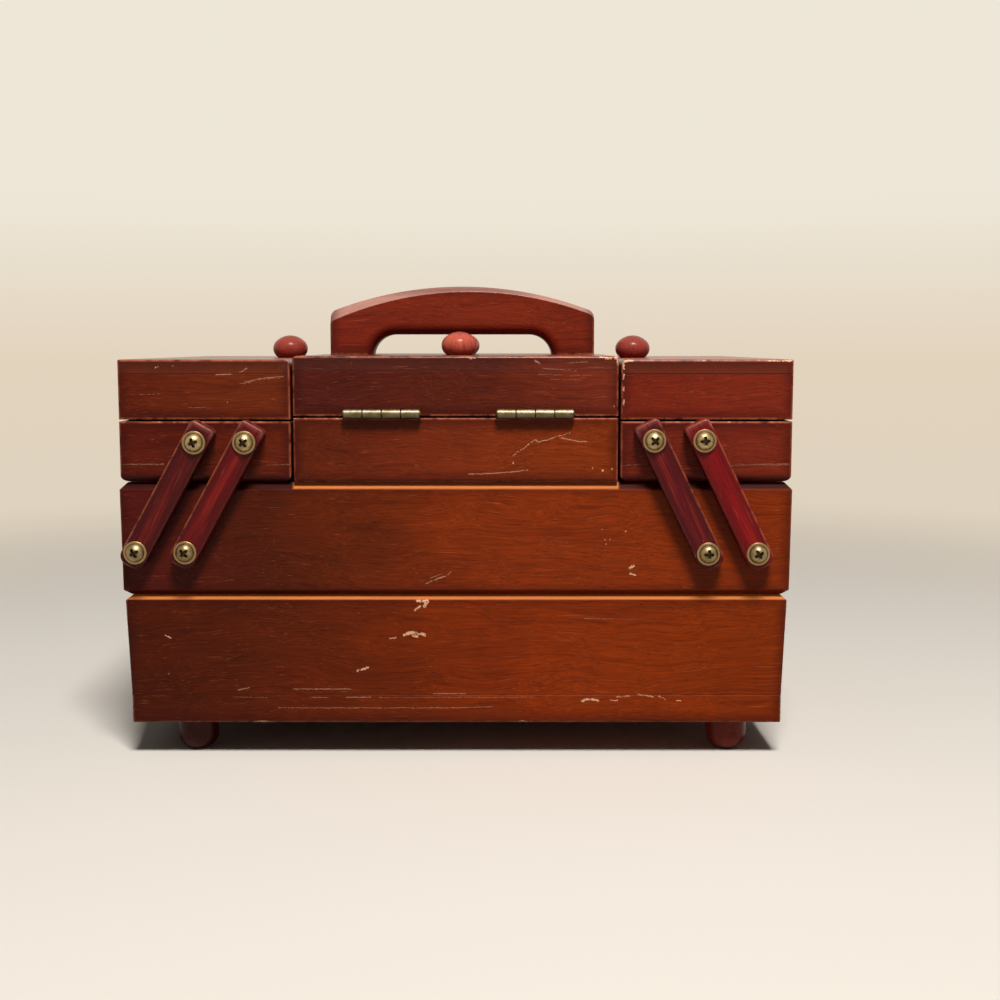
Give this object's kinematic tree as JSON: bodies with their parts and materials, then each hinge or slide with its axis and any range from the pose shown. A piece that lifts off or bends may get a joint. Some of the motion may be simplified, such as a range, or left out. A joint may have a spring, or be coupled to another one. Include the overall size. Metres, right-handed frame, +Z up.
{
  "type": "sewing carrier",
  "caption": "Small wooden fold-out sewing carrier: a deep two-tier base, a fixed tower with flip lids and an arched handle, and lidded side trays on swinging arms.",
  "frame": {"origin": "on the table under the middle of the closed carrier", "axes": "+X along the carrier to the viewer's right, +Y from front to back, +Z up"},
  "size_m": [0.2182, 0.156, 0.1525],
  "materials": {
    "carcass_wood": "mahogany stain, worn semi-gloss varnish",
    "tray_wood": "mahogany stain, worn semi-gloss varnish",
    "lid_wood": "mahogany stain, worn semi-gloss varnish",
    "handle_wood": "red mahogany stain, varnished",
    "arm_wood": "crimson stain, varnished",
    "knob_wood": "crimson stain, varnished",
    "foot_wood": "dark red stain, varnished",
    "aged_brass": "antique brass plate, dulled"
  },
  "bodies": {
    "carrier": {"base_back_board": "carcass_wood", "base_bottom_board": "carcass_wood", "base_end_boards": "carcass_wood", "base_front_board": "carcass_wood", "centre_hinge_leaves_and_pins": "aged_brass", "feet": "foot_wood", "foot_screws": "aged_brass", "handle": "handle_wood", "handle_bridge": "carcass_wood", "handle_screws": "aged_brass", "lower_pivot_screws": "aged_brass", "middle_back_board": "carcass_wood", "middle_end_boards": "carcass_wood", "middle_front_board": "carcass_wood", "tower_back_board": "carcass_wood", "tower_end_boards": "carcass_wood", "tower_front_board": "carcass_wood"},
    "left_front_inner_arm": {"left_front_inner_arm": "arm_wood"},
    "left_front_outer_arm": {"left_front_outer_arm": "arm_wood"},
    "left_back_inner_arm": {"left_back_inner_arm": "arm_wood"},
    "left_back_outer_arm": {"left_back_outer_arm": "arm_wood"},
    "left_tray": {"left_tray_back_board": "tray_wood", "left_tray_bottom_board": "tray_wood", "left_tray_front_board": "tray_wood", "left_tray_hinge_leaves_and_pins": "aged_brass", "left_tray_inner_board": "tray_wood", "left_tray_outer_board": "tray_wood", "left_tray_pivot_screws": "aged_brass"},
    "left_lid": {"left_lid_hinge_leaves": "aged_brass", "left_lid_knob": "knob_wood", "left_lid_knob_screw": "aged_brass", "left_lid_panel": "lid_wood", "left_lid_rim_boards": "lid_wood"},
    "right_front_inner_arm": {"right_front_inner_arm": "arm_wood"},
    "right_front_outer_arm": {"right_front_outer_arm": "arm_wood"},
    "right_back_inner_arm": {"right_back_inner_arm": "arm_wood"},
    "right_back_outer_arm": {"right_back_outer_arm": "arm_wood"},
    "right_tray": {"right_tray_back_board": "tray_wood", "right_tray_bottom_board": "tray_wood", "right_tray_front_board": "tray_wood", "right_tray_hinge_leaves_and_pins": "aged_brass", "right_tray_inner_board": "tray_wood", "right_tray_outer_board": "tray_wood", "right_tray_pivot_screws": "aged_brass"},
    "right_lid": {"right_lid_hinge_leaves": "aged_brass", "right_lid_knob": "knob_wood", "right_lid_knob_screw": "aged_brass", "right_lid_panel": "lid_wood", "right_lid_rim_boards": "lid_wood"},
    "front_lid": {"front_lid_hinge_leaves": "aged_brass", "front_lid_knob": "knob_wood", "front_lid_knob_screw": "aged_brass", "front_lid_panel": "lid_wood", "front_lid_rim_boards": "lid_wood"},
    "back_lid": {"back_lid_hinge_leaves": "aged_brass", "back_lid_knob": "knob_wood", "back_lid_knob_screw": "aged_brass", "back_lid_panel": "lid_wood", "back_lid_rim_boards": "lid_wood"}
  },
  "joints": [
    {"name": "left_front_inner_arm_pivot", "type": "hinge", "parent": "carrier", "child": "left_front_inner_arm", "pos_m": [-0.0848, -0.0729, 0.0671], "axis": [0, -1, 0], "range_deg": [0, 58]},
    {"name": "left_tray_swing", "type": "hinge", "parent": "carrier", "child": "left_front_outer_arm", "pos_m": [-0.1004, -0.0729, 0.0671], "axis": [0, -1, 0], "range_deg": [0, 58]},
    {"name": "left_back_inner_arm_pivot", "type": "hinge", "parent": "carrier", "child": "left_back_inner_arm", "pos_m": [-0.0848, 0.0729, 0.0671], "axis": [0, -1, 0], "range_deg": [0, 58]},
    {"name": "left_back_outer_arm_pivot", "type": "hinge", "parent": "carrier", "child": "left_back_outer_arm", "pos_m": [-0.1004, 0.0729, 0.0671], "axis": [0, -1, 0], "range_deg": [0, 58]},
    {"name": "left_tray_level", "type": "hinge", "parent": "left_front_outer_arm", "child": "left_tray", "pos_m": [-0.08125, -0.0729, 0.10165], "axis": [0, -1, 0], "range_deg": [-58, 0]},
    {"name": "left_lid_hinge", "type": "hinge", "parent": "left_tray", "child": "left_lid", "pos_m": [-0.1076, 0, 0.1093], "axis": [0, -1, 0], "range_deg": [0, 189]},
    {"name": "right_front_inner_arm_pivot", "type": "hinge", "parent": "carrier", "child": "right_front_inner_arm", "pos_m": [0.0793, -0.0729, 0.0667], "axis": [0, 1, 0], "range_deg": [0, 52]},
    {"name": "right_tray_swing", "type": "hinge", "parent": "carrier", "child": "right_front_outer_arm", "pos_m": [0.0949, -0.0729, 0.0667], "axis": [0, 1, 0], "range_deg": [0, 52]},
    {"name": "right_back_inner_arm_pivot", "type": "hinge", "parent": "carrier", "child": "right_back_inner_arm", "pos_m": [0.0793, 0.0729, 0.0667], "axis": [0, 1, 0], "range_deg": [0, 52]},
    {"name": "right_back_outer_arm_pivot", "type": "hinge", "parent": "carrier", "child": "right_back_outer_arm", "pos_m": [0.0949, 0.0729, 0.0667], "axis": [0, 1, 0], "range_deg": [0, 52]},
    {"name": "right_tray_level", "type": "hinge", "parent": "right_front_outer_arm", "child": "right_tray", "pos_m": [0.07758, -0.0729, 0.1022], "axis": [0, 1, 0], "range_deg": [-52, 0]},
    {"name": "right_lid_hinge", "type": "hinge", "parent": "right_tray", "child": "right_lid", "pos_m": [0.1076, 0, 0.1093], "axis": [0, 1, 0], "range_deg": [0, 189]},
    {"name": "front_lid_hinge", "type": "hinge", "parent": "carrier", "child": "front_lid", "pos_m": [0, -0.0716, 0.1104], "axis": [1, 0, 0], "range_deg": [0, 189]},
    {"name": "back_lid_hinge", "type": "hinge", "parent": "carrier", "child": "back_lid", "pos_m": [0, 0.0716, 0.1104], "axis": [-1, 0, 0], "range_deg": [0, 189]}
  ],
  "couplings": [
    {"joint": "left_front_inner_arm_pivot", "follows": "left_tray_swing", "ratio": 1},
    {"joint": "left_back_inner_arm_pivot", "follows": "left_tray_swing", "ratio": 1},
    {"joint": "left_back_outer_arm_pivot", "follows": "left_tray_swing", "ratio": 1},
    {"joint": "left_tray_level", "follows": "left_tray_swing", "ratio": -1},
    {"joint": "right_front_inner_arm_pivot", "follows": "right_tray_swing", "ratio": 1},
    {"joint": "right_back_inner_arm_pivot", "follows": "right_tray_swing", "ratio": 1},
    {"joint": "right_back_outer_arm_pivot", "follows": "right_tray_swing", "ratio": 1},
    {"joint": "right_tray_level", "follows": "right_tray_swing", "ratio": -1}
  ]
}
